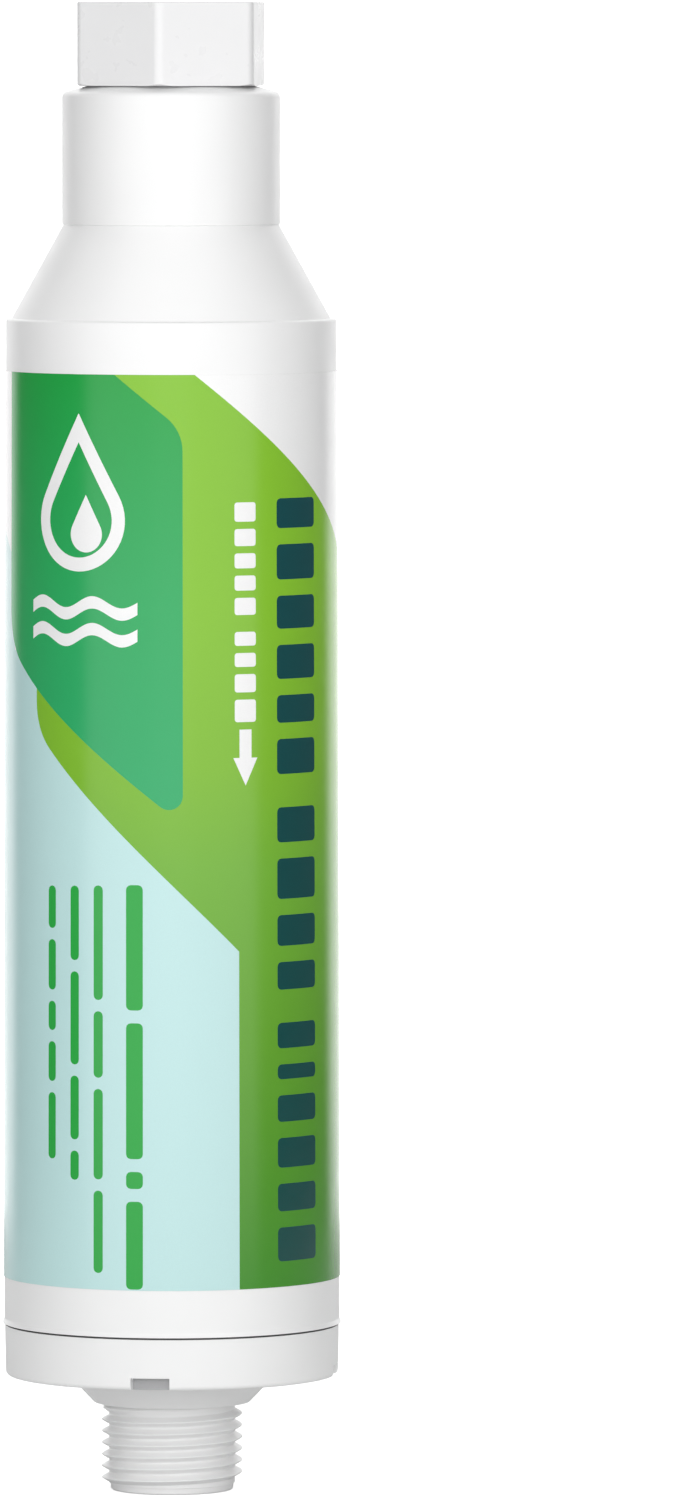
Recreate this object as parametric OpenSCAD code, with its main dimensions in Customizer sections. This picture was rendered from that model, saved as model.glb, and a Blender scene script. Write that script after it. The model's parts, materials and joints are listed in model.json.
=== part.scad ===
// Inline water filter for a garden or caravan hose, standing on its outlet.
// Millimetres, +Z up along the flow axis, inlet at the top, origin at the centre of the outlet's end face.

/* [Barrel] */
// Outside diameter of the barrel at the weld seam
barrel_d = 63.5; // [56:0.5:80]
// Radius that the barrel loses from the seam to its top, the mould's draft
barrel_draft = 0.55; // [0:0.05:1]
// Length of the barrel, from the weld seam to the foot of the shoulder
barrel_len = 190.2; // [150:1:240]
// Thickness of the moulded walls
wall = 2.6; // [2:0.1:3.2]
// Rounding of the barrel's top edge
barrel_round = 0.5; // [0.2:0.1:0.8]
// Height of the sloping shoulder
shoulder_h = 17.8; // [12:0.2:24]
// Width of the flat ledge at the foot of the shoulder
shoulder_ledge = 1.05; // [0.8:0.05:2]
// How far the thin lip at the seam stands out
seam_lip = 0.35; // [0.1:0.05:0.6]
// Height of that lip
seam_lip_h = 0.9; // [0.4:0.1:1.5]

/* [Collar] */
// Outside diameter of the collar
collar_d = 41.2; // [38:0.2:48]
// Height of the collar's straight side and rim
collar_h = 24.8; // [20:0.2:32]
// How far the collar stands out over the top of the shoulder
collar_step = 0.3; // [0.1:0.05:0.6]
// Rounding of the collar's rim
collar_round = 1.2; // [0.5:0.1:1.6]
// Rise of the sloping top from the rim to the flat
crown_h = 1.2; // [0.6:0.1:2]
// Diameter of the flat on top, under the nut
crown_flat_d = 32; // [28:0.5:36]

/* [Swivel nut] */
// Height of the nut
nut_h = 15.6; // [14:0.2:22]
// Nut's size across flats
nut_flats = 33.5; // [32:0.1:38]
// Rounding of the nut's upright edges
nut_edge_r = 2.1; // [1:0.1:3]
// Width cut off the nut's lower corners
nut_corner_cut = 1.1; // [0.4:0.1:1.6]
// Height cut off the nut's lower corners
nut_corner_cut_h = 0.35; // [0.2:0.05:0.8]
// Direction of one upright edge at rest, in degrees from +X
nut_clock = 23; // [0:1:59]
// Thickness of the lip that turns under the flange
nut_lip_t = 2; // [1.6:0.1:3]
// Depth of the plain entry above the female thread
nut_entry_depth = 1.4; // [1.2:0.1:2]
// Diameter of the plain entry
nut_entry_d = 27.8; // [27.5:0.1:28.4]
// Distance that the nut can slide along the tailpiece
nut_float = 0.8; // [0.4:0.1:1.4]
// Clearance under the nut at rest, and between lip and flange at the end of the slide
nut_clear = 0.3; // [0.15:0.05:0.5]
// Radial clearance between the nut's lip and the tailpiece tube
nut_run_clear = 0.35; // [0.2:0.05:0.6]

/* [Hose thread] */
// Pitch of both threads, 11.5 to the inch
thread_pitch = 2.2087; // [2:0.0001:2.4]
// Major diameter of the male outlet thread
male_major_d = 26.6; // [26:0.05:27]
// Depth of the male thread
male_depth = 1.38; // [1:0.02:1.5]
// Major diameter of the female inlet thread
female_major_d = 27.3; // [27.2:0.05:27.5]
// Depth of the female thread
female_depth = 1.36; // [1:0.02:1.5]
// Width of the thread's crest
crest_w = 0.24; // [0.15:0.01:0.4]
// Angle of a thread flank from the square
flank_angle = 30; // [20:1:35]

/* [Outlet spigot] */
// Length of the spigot below the boss
spigot_len = 16.7; // [14:0.1:24]
// Diameter of the plain lead-in at the spigot's end
lead_in_d = 23.3; // [22:0.1:23.5]
// Length of the plain lead-in
lead_in_len = 2.2; // [1.8:0.1:3]
// Rounding of the lead-in's edge
lead_in_round = 0.5; // [0.2:0.1:0.8]
// Diameter of the water way at inlet and outlet
flow_d = 15; // [12:0.5:16]

/* [End cap] */
// How far the cap's skirt stands back from the barrel just under the seam
cap_inset = 0.1; // [0:0.05:0.5]
// Height of the cap's skirt
cap_h = 10; // [8:0.2:14]
// Radius that the skirt loses towards its lower edge
cap_draft = 0.15; // [0:0.05:0.4]
// Rounding of the cap's lower edge
cap_round = 0.9; // [0.4:0.1:1.4]
// Height of the coned boss between cap and spigot
boss_h = 5.2; // [4:0.2:8]
// Diameter of the boss where it meets the cap
boss_d = 39.6; // [36:0.2:44]
// Diameter of the boss's lower face
boss_low_d = 29.6; // [28:0.2:34]
// Thickness of the cap's floor
cap_floor = 3; // [2.4:0.1:4]
// Height of the tongue that stands inside the barrel
tongue_h = 4; // [3:0.5:6]
// Thickness of the tongue
tongue_t = 2.2; // [1.8:0.1:3]
// Radial clearance between the tongue and the barrel's bore
tongue_clear = 0.1; // [0.05:0.05:0.2]
// Number of ribs that carry the grid
rib_n = 6; // [4:1:8]
// Thickness of a rib
rib_t = 1.8; // [1.4:0.1:2.4]
// Number of drive notches in the cap's lower edge
notch_n = 4; // [2:1:6]
// Width of a notch
notch_w = 7.2; // [5:0.1:9]
// Height of a notch
notch_h = 2.3; // [1.5:0.1:3]
// Depth of a notch
notch_depth = 1.9; // [1.2:0.1:2.4]
// Direction of the first notch, in degrees from +X
notch_clock = 262.4; // [0:0.1:359]

/* [Label] */
// Bare height between the seam and the label's lower edge
label_below = 8.9; // [4:0.1:20]
// Bare height between the label's upper edge and the foot of the shoulder
label_above = 9.8; // [4:0.1:20]
// Thickness of the film
label_t = 0.15; // [0.1:0.05:0.3]
// Angle left open between the film's two ends, at the back
label_open = 3; // [1:0.5:10]

/* [Neck and tailpiece] */
// Outside diameter of the tailpiece tube in the nut's lip
tail_d = 20; // [19:0.1:20.4]
// Outside diameter of the tube below its step
tail_low_d = 18; // [17.4:0.1:18.4]
// Radial clearance of the tube in the neck's socket
tail_clear = 0.05; // [0.02:0.01:0.1]
// Diameter of the flange that holds the nut
flange_d = 23.6; // [22.6:0.1:24]
// Thickness of the flange
flange_t = 1.4; // [1.2:0.1:2]
// Depth of the socket in the neck, from the top of the crown
socket_depth = 14; // [12:0.5:18]
// Depth of the step that the tube sits on
socket_step = 9.5; // [9:0.5:10.5]
// Depth of the O-ring's middle below the crown
oring_depth = 5; // [4:0.5:6]
// Thickness of the O-ring as squeezed in its groove
oring_t = 1.5; // [1.2:0.1:1.6]
// Clearance round the O-ring
oring_clear = 0.03; // [0.01:0.01:0.05]
// How far the snap barb stands out under the socket
barb_out = 0.6; // [0.3:0.1:0.9]
// Height of the snap barb
barb_h = 2; // [1.5:0.1:3]
// Axial clearance between the barb and the socket
barb_clear = 0.1; // [0.05:0.05:0.3]

/* [Washer] */
// Outside diameter of the hose washer
washer_d = 25.8; // [25.2:0.1:26.4]
// Hole in the washer
washer_hole_d = 15.6; // [15:0.1:18]
// Thickness of the washer
washer_t = 2.6; // [2:0.1:3.2]
// Gap between the washer and the flange at rest
washer_clear = 0.05; // [0.02:0.01:0.1]

/* [Filter stack] */
// Radial clearance of the discs and pads in the barrel
stack_clear = 0.2; // [0.1:0.05:0.4]
// Radial clearance of the loose media in the barrel
media_clear = 0.05; // [0.02:0.01:0.1]
// Drop from the foot of the shoulder to the stop over the diffuser
stop_drop = 1.6; // [1:0.1:3]
// Width of that stop
stop_w = 1.2; // [0.8:0.1:2]
// Thickness of the inlet diffuser
diffuser_t = 2; // [1.6:0.1:3]
// Size across corners of a diffuser hole
diffuser_hole = 3; // [2:0.1:4]
// Spacing of the rings of diffuser holes
diffuser_ring = 4.6; // [4.4:0.1:6]
// Thickness of the inlet pad
inlet_pad_t = 6; // [4:0.5:8]
// Height of the copper-zinc bed
kdf_h = 18; // [12:1:30]
// Thickness of the felt between the two beds
divider_t = 3; // [2:0.5:5]
// Thickness of the sediment pad at the outlet
outlet_pad_t = 6; // [4:0.5:10]
// Thickness of the outlet screen
screen_t = 0.5; // [0.4:0.1:1]
// Thickness of the outlet grid
grid_t = 2.5; // [2:0.1:4]
// Width of a slot in the grid
grid_slot_w = 1.8; // [1.2:0.1:2.2]
// Diameter of the grid's solid hub
grid_hub_d = 16; // [12:0.5:20]
// Width of the solid ring between the two rows of slots
grid_band = 2.2; // [1.6:0.1:3]
// Width of the solid rim of the grid and the diffuser
plate_rim = 3; // [2.6:0.1:4]

/* [Hidden] */
$fn = 96;

cut = 1;              // how far a cutting shape runs past the face it cuts
arc_steps = 8;        // straight pieces in a rounded corner
thread_steps = 24;    // rings of a thread ridge in one turn
thread_sink = 0.25;   // how far a thread ridge is rooted in its wall
fade_turns = 0.4;     // part of a turn over which a thread ridge runs out
thread_gap = 0.15;    // least distance from a thread ridge to the end of its wall

// heights, from the outlet's end face up
cap_z = spigot_len + boss_h;
seam_z = cap_z + cap_h;
grid_z = seam_z + tongue_h;
shoulder_z = seam_z + barrel_len;
collar_z = shoulder_z + shoulder_h;
rim_z = collar_z + collar_h;
crown_z = rim_z + crown_h;
nut_z = crown_z + nut_clear;
nut_top_z = nut_z + nut_h;
lip_top_z = nut_z + nut_lip_t;
flange_z = lip_top_z + nut_float + nut_clear;
washer_z = flange_z + flange_t + washer_clear;
washer_top_z = washer_z + washer_t;
entry_z = nut_top_z - nut_entry_depth;
stop_z = shoulder_z - stop_drop;
label_low_z = seam_z + label_below;
label_high_z = shoulder_z - label_above;

// the filter stack, from the outlet grid up and from the diffuser down
screen_z = grid_z + grid_t;
outlet_pad_z = screen_z + screen_t;
carbon_z = outlet_pad_z + outlet_pad_t;
diffuser_z = stop_z - diffuser_t;
inlet_pad_z = diffuser_z - inlet_pad_t;
kdf_z = inlet_pad_z - kdf_h;
divider_z = kdf_z - divider_t;

// radii
barrel_r = barrel_d / 2;
barrel_top_r = barrel_r - barrel_draft;
bore_r = barrel_top_r - wall;
shoulder_foot_r = barrel_top_r - shoulder_ledge;
collar_r = collar_d / 2;
shoulder_top_r = collar_r - collar_step;
collar_in_r = collar_r - wall;
flow_r = flow_d / 2;
tail_r = tail_d / 2;
tail_low_r = tail_low_d / 2;
socket_r = tail_r + tail_clear;
socket_low_r = tail_low_r + tail_clear;
socket_out_r = socket_r + wall;
female_r = female_major_d / 2;
male_root_r = male_major_d / 2 - male_depth;
tongue_r = bore_r - tongue_clear;
tongue_in_r = tongue_r - tongue_t;
plate_r = bore_r - stack_clear;
media_r = bore_r - media_clear;
slots_out_r = plate_r - plate_rim;
slots_in_r = grid_hub_d / 2;

// radius of the barrel's drafted outside at height z
function barrel_r_at(z) = barrel_r - barrel_draft * (z - seam_z) / barrel_len;

// points of a rounded corner about centre c, from angle a to angle b
function corner(c, r, a, b) = [
    for (i = [0 : arc_steps]) let (t = a + (b - a) * i / arc_steps) [c[0] + r * cos(t), c[1] + r * sin(t)]
];

// the inside of the shoulder runs parallel to its outside, one wall away
shoulder_slope = (shoulder_foot_r - shoulder_top_r) / shoulder_h;
shoulder_shift = wall * sqrt(1 + shoulder_slope * shoulder_slope);
function shoulder_in_z(r) = shoulder_z + (shoulder_foot_r - shoulder_shift - r) / shoulder_slope;

// the collar's rim: a corner between an upright side and the sloping crown
crown_angle = atan(crown_h / (collar_r - crown_flat_d / 2));
rim_sweep = 90 - crown_angle;
rim_tangent = collar_round * tan(rim_sweep / 2);
rim_corner_z = rim_z;
rim_centre = [collar_r - collar_round, rim_corner_z - rim_tangent];

module ring(r_out, r_in, z, h) {
    translate([0, 0, z]) difference() {
        cylinder(r = r_out, h = h);
        translate([0, 0, -cut]) cylinder(r = r_in, h = h + 2 * cut);
    }
}

module disc(r, z, h) {
    translate([0, 0, z]) cylinder(r = r, h = h);
}

// One ring of a thread ridge: root, crest, crest, root, as [radius, height].
// size runs from 0, sunk in the wall, to 1, full height; out is 1 for a male thread and -1 for a female one.
function ridge_ring(wall_r, depth, out, size) =
    let (
        root = wall_r - out * thread_sink,
        crest = wall_r + out * (depth * size - thread_sink * (1 - size)),
        crest_half = crest_w / 2,
        root_half = crest_half + abs(crest - root) * tan(flank_angle)
    )
    [[root, -root_half], [crest, -crest_half], [crest, crest_half], [root, root_half]];

// Right-hand helical ridge on a wall of radius wall_r, its middle running from z0 up to z1
module thread_ridge(wall_r, depth, out, z0, z1) {
    turns = (z1 - z0) / thread_pitch;
    n = ceil(turns * thread_steps);
    points = [
        for (i = [0 : n])
            let (
                turn = turns * i / n,
                size = min(1, turn / fade_turns, (turns - turn) / fade_turns),
                a = 360 * turn
            )
            for (p = ridge_ring(wall_r, depth, out, size))
                [p[0] * cos(a), p[0] * sin(a), z0 + thread_pitch * turn + p[1]]
    ];
    sides = [
        for (i = [0 : n - 1]) for (k = [0 : 3])
            let (a = 4 * i + k, b = 4 * i + (k + 1) % 4, c = b + 4, d = a + 4)
            each [[a, b, c], [a, c, d]]
    ];
    ends = [[0, 2, 1], [0, 3, 2], [4 * n, 4 * n + 1, 4 * n + 2], [4 * n, 4 * n + 2, 4 * n + 3]];
    faces = concat(sides, ends);
    // the ring runs the other way round on a female thread
    polyhedron(points, out > 0 ? faces : [for (f = faces) [f[2], f[1], f[0]]]);
}

// Hexagon with rounded corners, one corner on +X
module nut_outline() {
    inner = nut_flats / 2;
    corner_r = inner / cos(30);
    centre_r = corner_r - nut_edge_r / cos(30);
    tangent = nut_edge_r * tan(30);
    along = inner * tan(30) - tangent;
    polygon([
        for (i = [0 : 5]) for (s = [-1, 1])
            let (a = 60 * i + 30)
            [inner * cos(a) - s * along * sin(a), inner * sin(a) + s * along * cos(a)]
    ]);
    for (i = [0 : 5]) rotate(60 * i) translate([centre_r, 0]) circle(r = nut_edge_r);
}

module swivel_nut() {
    tip_r = nut_flats / 2 / cos(30);
    ridge_half = crest_w / 2 + (female_depth + thread_sink) * tan(flank_angle);
    color("white") {
        difference() {
            rotate(nut_clock) translate([0, 0, nut_z]) intersection() {
                linear_extrude(nut_h) nut_outline();
                rotate_extrude() polygon([
                    [0, 0], [tip_r - nut_corner_cut, 0], [tip_r, nut_corner_cut_h], [tip_r + cut, nut_corner_cut_h],
                    [tip_r + cut, nut_h], [0, nut_h]
                ]);
            }
            translate([0, 0, nut_z - cut]) cylinder(r = tail_r + nut_run_clear, h = nut_h);
            translate([0, 0, lip_top_z]) cylinder(r = female_r, h = nut_h);
            translate([0, 0, entry_z]) cylinder(d = nut_entry_d, h = nut_h);
        }
        thread_ridge(female_r, female_depth, -1,
            washer_top_z + thread_gap + ridge_half, entry_z - thread_gap - ridge_half);
    }
}

module hose_washer() {
    color("dimgray") ring(washer_d / 2, washer_hole_d / 2, washer_z, washer_t);
}

module inlet_tailpiece() {
    step_z = crown_z - socket_step;
    barb_top_z = crown_z - socket_depth - barb_clear;
    barb_r = tail_low_r + barb_out;
    low_z = barb_top_z - barb_h;
    groove_z = crown_z - oring_depth;
    color("whitesmoke") difference() {
        rotate_extrude() polygon([
            [flow_r, low_z], [tail_low_r - barb_out, low_z], [barb_r, barb_top_z], [tail_low_r, barb_top_z],
            [tail_low_r, step_z], [tail_r, step_z], [tail_r, flange_z], [flange_d / 2, flange_z],
            [flange_d / 2, flange_z + flange_t], [flow_r, flange_z + flange_t]
        ]);
        ring(tail_r + cut, tail_r - oring_t, groove_z - oring_t / 2 - oring_clear, oring_t + 2 * oring_clear);
    }
}

module neck_oring() {
    section_r = oring_t / 2;
    color("black") translate([0, 0, crown_z - oring_depth]) rotate_extrude()
        translate([tail_r - section_r + oring_clear, 0]) circle(r = section_r - oring_clear, $fn = 32);
}

module housing() {
    outside = concat(
        [[0, seam_z], [barrel_r + seam_lip, seam_z], [barrel_r_at(seam_z + seam_lip_h), seam_z + seam_lip_h]],
        corner([barrel_top_r - barrel_round, shoulder_z - barrel_round], barrel_round, 0, 90),
        [[shoulder_foot_r, shoulder_z], [shoulder_top_r, collar_z], [collar_r, collar_z]],
        corner(rim_centre, collar_round, 0, rim_sweep),
        [[crown_flat_d / 2, crown_z], [0, crown_z]]
    );
    stop_r = bore_r - stop_w;
    inside = [
        [0, seam_z - cut], [bore_r, seam_z - cut], [bore_r, stop_z], [stop_r, stop_z],
        [stop_r, shoulder_in_z(stop_r)], [collar_in_r, shoulder_in_z(collar_in_r)],
        [collar_in_r, rim_z - wall], [socket_out_r, crown_z - wall],
        [socket_out_r, crown_z - socket_depth], [0, crown_z - socket_depth]
    ];
    color("white") difference() {
        rotate_extrude() polygon(outside);
        rotate_extrude() polygon(inside);
        translate([0, 0, crown_z - socket_step]) cylinder(r = socket_r, h = socket_step + cut);
        translate([0, 0, crown_z - socket_depth - cut]) cylinder(r = socket_low_r, h = socket_depth);
    }
}

module label() {
    low_r = barrel_r_at(label_low_z);
    high_r = barrel_r_at(label_high_z);
    color("yellowgreen") rotate(90 + label_open / 2) rotate_extrude(angle = 360 - label_open) polygon([
        [low_r, label_low_z], [low_r + label_t, label_low_z],
        [high_r + label_t, label_high_z], [high_r, label_high_z]
    ]);
}

module inlet_diffuser() {
    rings = floor((slots_out_r - diffuser_hole / 2) / diffuser_ring);
    color("whitesmoke") difference() {
        disc(plate_r, diffuser_z, diffuser_t);
        for (ring_no = [1 : rings]) for (i = [0 : 6 * ring_no - 1])
            rotate(60 * i / ring_no) translate([ring_no * diffuser_ring, 0, diffuser_z - cut])
                cylinder(d = diffuser_hole, h = diffuser_t + 2 * cut, $fn = 6);
    }
}

module inlet_pad() {
    color("ivory") disc(plate_r, inlet_pad_z, inlet_pad_t);
}

module kdf_bed() {
    color("goldenrod") disc(media_r, kdf_z, kdf_h);
}

module divider_pad() {
    color("ivory") disc(plate_r, divider_z, divider_t);
}

module carbon_bed() {
    color("black") disc(media_r, carbon_z, divider_z - carbon_z);
}

module outlet_pad() {
    color("ivory") disc(plate_r, outlet_pad_z, outlet_pad_t);
}

module outlet_screen() {
    color("silver") disc(plate_r, screen_z, screen_t);
}

// A row of n radial slots from radius r0 to radius r1
module grid_slots(r0, r1, n) {
    for (i = [0 : n - 1]) rotate(360 * i / n)
        translate([r0, -grid_slot_w / 2, grid_z - cut]) cube([r1 - r0, grid_slot_w, grid_t + 2 * cut]);
}

module outlet_grid() {
    band_r = (slots_in_r + slots_out_r) / 2;
    color("whitesmoke") difference() {
        disc(plate_r, grid_z, grid_t);
        grid_slots(slots_in_r, band_r - grid_band / 2, 12);
        grid_slots(band_r + grid_band / 2, slots_out_r, 24);
    }
}

module end_cap() {
    cap_r = barrel_r - cap_inset;
    cap_low_r = cap_r - cap_draft;
    floor_z = cap_z + cap_floor;
    funnel_r = boss_d / 2 - cap_floor;
    lead_r = lead_in_d / 2;
    ridge_half = crest_w / 2 + (male_depth + thread_sink) * tan(flank_angle);
    outside = concat(
        [[0, 0]],
        corner([lead_r - lead_in_round, lead_in_round], lead_in_round, -90, 0),
        [[lead_r, lead_in_len], [male_root_r, lead_in_len], [male_root_r, spigot_len],
         [boss_low_d / 2, spigot_len], [boss_d / 2, cap_z]],
        corner([cap_low_r - cap_round, cap_z + cap_round], cap_round, -90, 0),
        [[cap_r, seam_z], [tongue_r, seam_z], [tongue_r, grid_z + cut], [0, grid_z + cut]]
    );
    inside = [
        [0, spigot_len], [flow_r, spigot_len], [funnel_r, floor_z], [tongue_in_r, floor_z],
        [tongue_in_r, grid_z + 2 * cut], [0, grid_z + 2 * cut]
    ];
    color("white") {
        difference() {
            union() {
                difference() {
                    rotate_extrude() polygon(outside);
                    rotate_extrude() polygon(inside);
                }
                for (i = [0 : rib_n - 1]) rotate(360 * i / rib_n)
                    translate([funnel_r, -rib_t / 2, cap_z + cap_floor / 2])
                        cube([(tongue_r + tongue_in_r) / 2 - funnel_r, rib_t, grid_z - cap_z]);
            }
            // one cut levels the tongue and the ribs, so that the grid sits flat on both
            translate([0, 0, grid_z]) cylinder(r = bore_r, h = 2 * cut + cap_floor);
            translate([0, 0, -cut]) cylinder(r = flow_r, h = spigot_len + 2 * cut);
            for (i = [0 : notch_n - 1]) rotate(notch_clock + 360 * i / notch_n)
                translate([cap_low_r - notch_depth, -notch_w / 2, cap_z - cut])
                    cube([notch_depth + 2 * cut, notch_w, notch_h + cut]);
        }
        thread_ridge(male_root_r, male_depth, 1,
            lead_in_len + thread_gap + ridge_half, spigot_len - thread_gap - ridge_half);
    }
}

swivel_nut();
hose_washer();
inlet_tailpiece();
neck_oring();
housing();
label();
inlet_diffuser();
inlet_pad();
kdf_bed();
divider_pad();
carbon_bed();
outlet_pad();
outlet_screen();
outlet_grid();
end_cap();
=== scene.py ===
"""Looks of the inline water filter: moulded shells, threads, printed label, filter media and studio."""

import json
import math

import bmesh
import bpy
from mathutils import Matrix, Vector, noise
from mathutils.geometry import delaunay_2d_cdt


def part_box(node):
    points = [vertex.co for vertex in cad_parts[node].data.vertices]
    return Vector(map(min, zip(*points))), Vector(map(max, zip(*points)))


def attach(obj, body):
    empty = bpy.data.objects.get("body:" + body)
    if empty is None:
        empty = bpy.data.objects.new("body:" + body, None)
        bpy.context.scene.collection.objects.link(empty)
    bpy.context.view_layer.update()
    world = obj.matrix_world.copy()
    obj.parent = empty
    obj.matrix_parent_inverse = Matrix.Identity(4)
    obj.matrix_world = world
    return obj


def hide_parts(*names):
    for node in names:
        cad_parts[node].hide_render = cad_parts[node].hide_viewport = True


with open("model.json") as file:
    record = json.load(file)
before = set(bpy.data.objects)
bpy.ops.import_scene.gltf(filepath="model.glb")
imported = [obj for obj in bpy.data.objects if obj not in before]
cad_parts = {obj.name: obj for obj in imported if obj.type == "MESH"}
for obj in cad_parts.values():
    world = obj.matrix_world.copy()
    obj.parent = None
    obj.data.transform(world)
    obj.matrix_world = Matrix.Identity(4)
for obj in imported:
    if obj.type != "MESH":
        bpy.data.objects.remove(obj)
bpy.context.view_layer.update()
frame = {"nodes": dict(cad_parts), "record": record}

# Outlines are in millimetres, as (radius, height), and the label's art is as (arc from the front, height).
# Meshes are in metres.
MM = 0.001
TURN = 2 * math.pi

# ---------------------------------------------------------------- sizes


def span(node):
    """Lowest and highest corner of a CAD node at rest, in millimetres."""
    low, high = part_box(node)
    return low / MM, high / MM


shell_low, shell_high = span("housing")
cap_high = span("end_cap")[1]
nut_low, nut_high = span("swivel_nut")
washer_low, washer_high = span("hose_washer")
tail_low, tail_high = span("inlet_tailpiece")
oring_low, oring_high = span("neck_oring")
film_low, film_high = span("label")
MOUNTS = {m["name"]: m for m in frame["record"]["mounts"]}

SEAM_Z = shell_low.z
CROWN_Z = shell_high.z
BARREL_R = 31.75                 # radius of the barrel at the seam
BARREL_DRAFT = 0.55              # radius that the barrel loses up to the shoulder
BARREL_LEN = 190.2
SHOULDER_Z = SEAM_Z + BARREL_LEN
SHOULDER_H = 17.8
COLLAR_Z = SHOULDER_Z + SHOULDER_H
COLLAR_R = 20.6
WALL = 2.6
BORE_R = BARREL_R - BARREL_DRAFT - WALL
FLOW_R = 7.5
PITCH = 2.2087                   # of both hose threads
RIDGE_CREST = 0.12               # half the width of a thread's crest
RIDGE_FOOT = 0.92                # half the width of a thread's foot
FOOT_ROUND = 0.22                # roundings at a thread's foot
CREST_ROUND = 0.13               # and at its crest
THREAD_FADE = 0.4                # part of a turn over which a ridge runs out
COLUMNS = 192                    # columns of a turned piece


def barrel_r(z):
    """Radius of the drafted barrel at a height."""
    return BARREL_R - BARREL_DRAFT * (z - SEAM_Z) / BARREL_LEN


# ---------------------------------------------------------------- mesh helpers


def rounded(corners, steps=4, closed=True):
    """Outline through corners (r, z, radius). Each corner with a radius becomes an arc of steps pieces."""
    outline = []
    last = len(corners) - 1
    for i, (r, z, radius) in enumerate(corners):
        here = Vector((r, z))
        if not radius or (not closed and i in (0, last)):
            outline.append((r, z))
            continue
        back = (Vector(corners[i - 1][:2]) - here).normalized()
        on = (Vector(corners[(i + 1) % len(corners)][:2]) - here).normalized()
        half = back.angle(on) / 2
        centre = here + (back + on).normalized() * radius / math.sin(half)
        start = here + back * radius / math.tan(half) - centre
        end = here + on * radius / math.tan(half) - centre
        first = math.atan2(start.y, start.x)
        sweep = (math.atan2(end.y, end.x) - first + math.pi) % TURN - math.pi
        for k in range(steps + 1):
            a = first + sweep * k / steps
            outline.append((centre.x + radius * math.cos(a), centre.y + radius * math.sin(a)))
    return outline


def even_angles(count=COLUMNS):
    return [TURN * i / count for i in range(count)]


def place(bm, r, angle, z):
    return bm.verts.new((r * math.cos(angle) * MM, r * math.sin(angle) * MM, z * MM))


def revolve(bm, sections, closed=True):
    """Joins section outlines [(angle, [(r, z), ...]), ...] round the axis.

    Two sections at one angle make a flat wall.
    """
    columns = [[place(bm, r, angle, z) for r, z in outline] for angle, outline in sections]
    count = len(columns[0])
    for i, column in enumerate(columns):
        following = columns[(i + 1) % len(columns)]
        for j in range(count if closed else count - 1):
            k = (j + 1) % count
            bm.faces.new((column[j], following[j], following[k], column[k]))


def thread_wall(bm, angles, wall_r, height, low, high, first, last):
    """Wall from low to high with a right-hand ridge on it, whose middle climbs from first to last.

    height is over 0 for a male thread and under 0 for a female one. The rows of vertices follow the helix.
    """
    foot = [(-PITCH / 2, 0, 0), (-RIDGE_FOOT, 0, FOOT_ROUND), (-RIDGE_CREST, abs(height), CREST_ROUND)]
    side = rounded(foot + [(-o, h, radius) for o, h, radius in reversed(foot)], closed=False)
    rows = side[:-1]
    turns = (last - first) / PITCH
    lowest = math.floor((low - first) / PITCH) - 1
    highest = math.ceil((high - first) / PITCH) + 1

    def vertex(row, column):
        pitch_no, part = divmod(row, len(rows))
        turn = lowest + pitch_no + angles[column] / TURN
        size = max(0.0, min(1.0, turn / THREAD_FADE, (turns - turn) / THREAD_FADE))
        offset, rise = rows[part]
        z = min(high, max(low, first + turn * PITCH + offset))
        return place(bm, wall_r + math.copysign(rise * size, height), angles[column], z)

    count = (highest - lowest + 1) * len(rows)
    grid = [[vertex(row, column) for column in range(len(angles))] for row in range(count)]
    for row in range(count - len(rows) - 1):
        for column in range(len(angles)):
            here, above = grid[row], grid[row + 1]
            if column + 1 < len(angles):
                right, right_above = here[column + 1], above[column + 1]
            else:
                right, right_above = grid[row + len(rows)][0], grid[row + len(rows) + 1][0]
            bm.faces.new((here[column], right, right_above, above[column]))
    bmesh.ops.delete(bm, geom=[v for v in bm.verts if not v.link_faces], context="VERTS")


def linked(name, bm):
    """The mesh as an object of the scene."""
    mesh = bpy.data.meshes.new(name)
    bm.to_mesh(mesh)
    bm.free()
    obj = bpy.data.objects.new(name, mesh)
    bpy.context.scene.collection.objects.link(obj)
    return obj


def piece(name, bm, materials, body, nodes, sharp=35, material_of=None):
    """Welds a mesh, sets its edges and materials, hangs it on its body and hides the CAD nodes it replaces.
    """
    bmesh.ops.remove_doubles(bm, verts=bm.verts, dist=1e-6)
    bmesh.ops.dissolve_degenerate(bm, edges=bm.edges, dist=1e-7)
    bmesh.ops.recalc_face_normals(bm, faces=bm.faces)
    limit = math.radians(sharp)
    for edge in bm.edges:
        edge.smooth = edge.calc_face_angle(0) < limit
    for face in bm.faces:
        face.smooth = True
        if material_of:
            face.material_index = material_of(face)
    obj = linked(name, bm)
    for material in materials:
        obj.data.materials.append(material)
    weights = obj.modifiers.new("even_normals", "WEIGHTED_NORMAL")
    weights.keep_sharp = True
    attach(obj, body)
    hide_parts(*nodes)
    return obj


# ---------------------------------------------------------------- materials


def srgb(*screen):
    """Linear colour of an 8-bit screen colour."""
    linear = []
    for level in screen:
        share = level / 255
        linear.append(share / 12.92 if level < 11 else ((share + 0.055) / 1.055) ** 2.4)
    return (*linear, 1)


def fill_ramp(node, stops):
    """Gives a colour ramp its stops [(position, colour), ...]."""
    elements = node.color_ramp.elements
    while len(elements) < len(stops):
        elements.new(0.5)
    for element, (position, colour) in zip(elements, stops):
        element.position = position
        element.color = colour


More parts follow.
